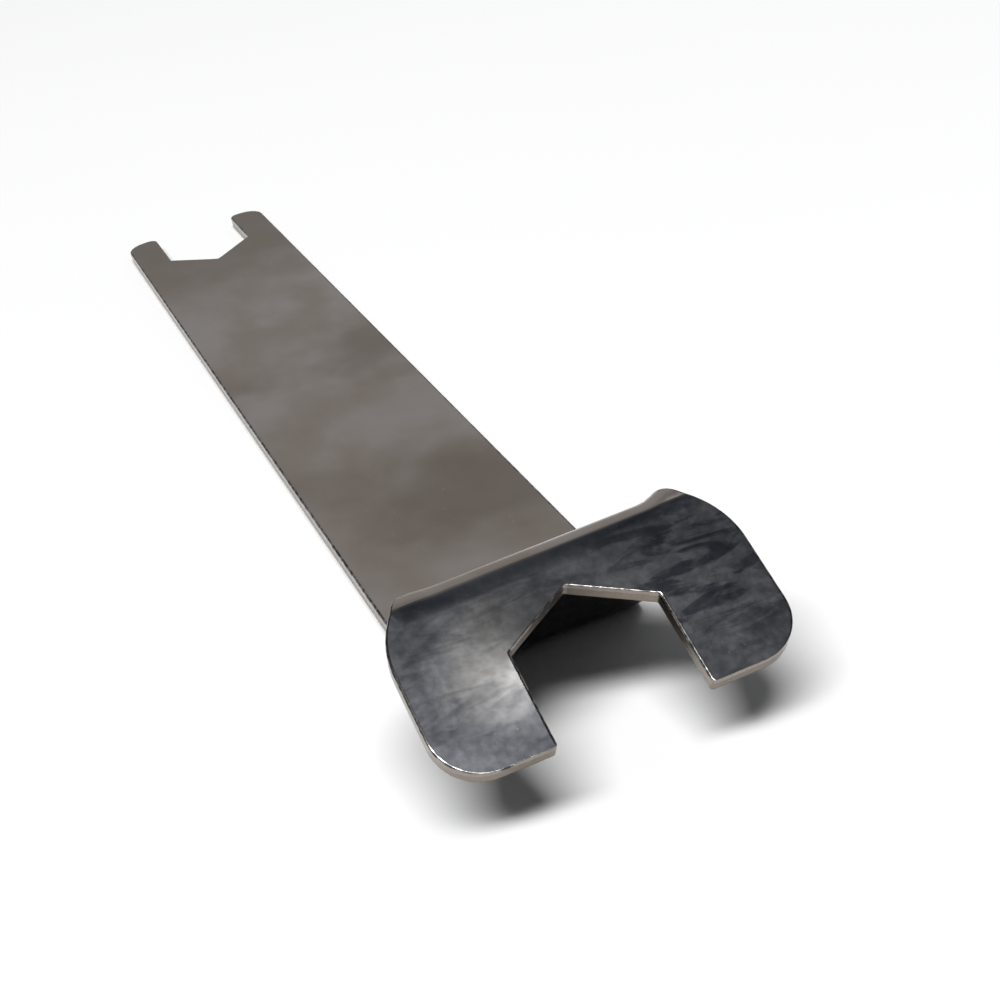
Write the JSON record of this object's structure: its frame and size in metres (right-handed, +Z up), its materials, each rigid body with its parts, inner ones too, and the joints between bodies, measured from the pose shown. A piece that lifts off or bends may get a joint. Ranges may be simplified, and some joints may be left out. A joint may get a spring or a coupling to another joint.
{
  "type": "case back opener",
  "caption": "Stamped sheet-steel spanner with a flat handle notched at its end, folded up to a raised, sloping jaw plate with a hexagonal open mouth.",
  "frame": {"origin": "centre of the bounding box in X and Y, on the plane that the handle's underside rests on", "axes": "+Z up out of the resting plane, +Y from the jaw plate along the handle to the far notch, X across the tool"},
  "size_m": [0.0284, 0.145, 0.0135],
  "materials": {
    "bare_steel": "bare rolled sheet, satin and slightly stained, with bright sheared edges"
  },
  "bodies": {
    "root": {"spanner_blade": "bare_steel"}
  },
  "joints": []
}
